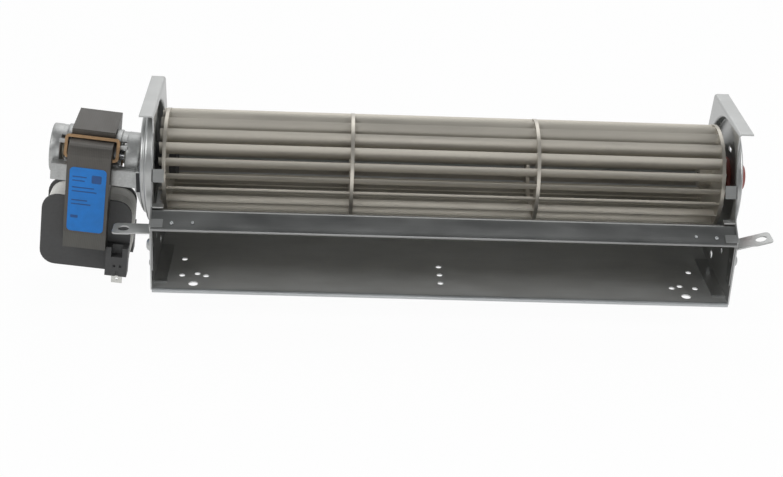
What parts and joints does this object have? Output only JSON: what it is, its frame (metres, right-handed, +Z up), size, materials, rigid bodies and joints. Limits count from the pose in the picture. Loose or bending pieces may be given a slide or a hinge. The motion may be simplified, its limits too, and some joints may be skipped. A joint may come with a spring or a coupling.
{
  "type": "range blower",
  "caption": "Tangential blower for a range: long bladed impeller in a sheet metal housing with a flat outlet duct, turned by a shaded-pole motor hung on rubber at one end.",
  "frame": {"origin": "underside of the duct floor, straight below the impeller's line, midway between the end plates", "axes": "+X along the impeller towards the bearing end (motor at -X), +Y to the back, +Z up; the duct blows towards -Y"},
  "size_m": [0.4189, 0.1042, 0.1107],
  "materials": {
    "galvanised_sheet": "satin",
    "impeller_sheet": "satin",
    "lamination_steel": "matte",
    "die_cast_zinc": "matte",
    "bobbin_plastic": "matte",
    "coil_tape": "matte",
    "copper": "satin",
    "label_foil": "satin",
    "black_rubber": "matte",
    "red_rubber": "matte",
    "sintered_bronze": "matte",
    "ground_steel": "polished",
    "felt": "matte",
    "tinned_brass": "satin",
    "rotor_aluminium": "satin"
  },
  "bodies": {
    "housing": {"end_plate_left": "galvanised_sheet", "end_plate_right": "galvanised_sheet", "scroll": "galvanised_sheet", "tongue": "galvanised_sheet", "plate_rivets": "ground_steel", "bearing_rubber": "red_rubber", "bearing_sleeve": "sintered_bronze", "core_frame": "lamination_steel", "core_yoke": "lamination_steel", "bobbin": "bobbin_plastic", "winding": "copper", "coil_tape": "coil_tape", "shading_rings": "copper", "bracket_left": "die_cast_zinc", "bracket_right": "die_cast_zinc", "motor_bearings": "sintered_bronze", "oil_felts": "felt", "through_screws": "ground_steel", "terminals": "tinned_brass", "label": "label_foil", "isolators": "black_rubber", "mount_clips": "galvanised_sheet", "clip_rivets": "ground_steel"},
    "impeller": {"blades": "impeller_sheet", "support_rings": "impeller_sheet", "drive_disc": "impeller_sheet", "bearing_disc": "impeller_sheet", "stub_shaft": "ground_steel", "drive_hub": "black_rubber"},
    "rotor": {"rotor_core": "lamination_steel", "rotor_cage": "rotor_aluminium", "rotor_shaft": "ground_steel", "thrust_washers": "bobbin_plastic", "drive_ball": "sintered_bronze"}
  },
  "joints": [
    {"name": "impeller_spin", "type": "hinge", "parent": "housing", "child": "impeller", "pos_m": [0, 0, 0.0556], "axis": [-1, 0, 0], "continuous": true},
    {"name": "rotor_spin", "type": "hinge", "parent": "housing", "child": "rotor", "pos_m": [-0.16, 0, 0.0556], "axis": [-0.9952, 0, 0.0976], "continuous": true}
  ],
  "couplings": [
    {"joint": "rotor_spin", "follows": "impeller_spin", "ratio": 1}
  ]
}
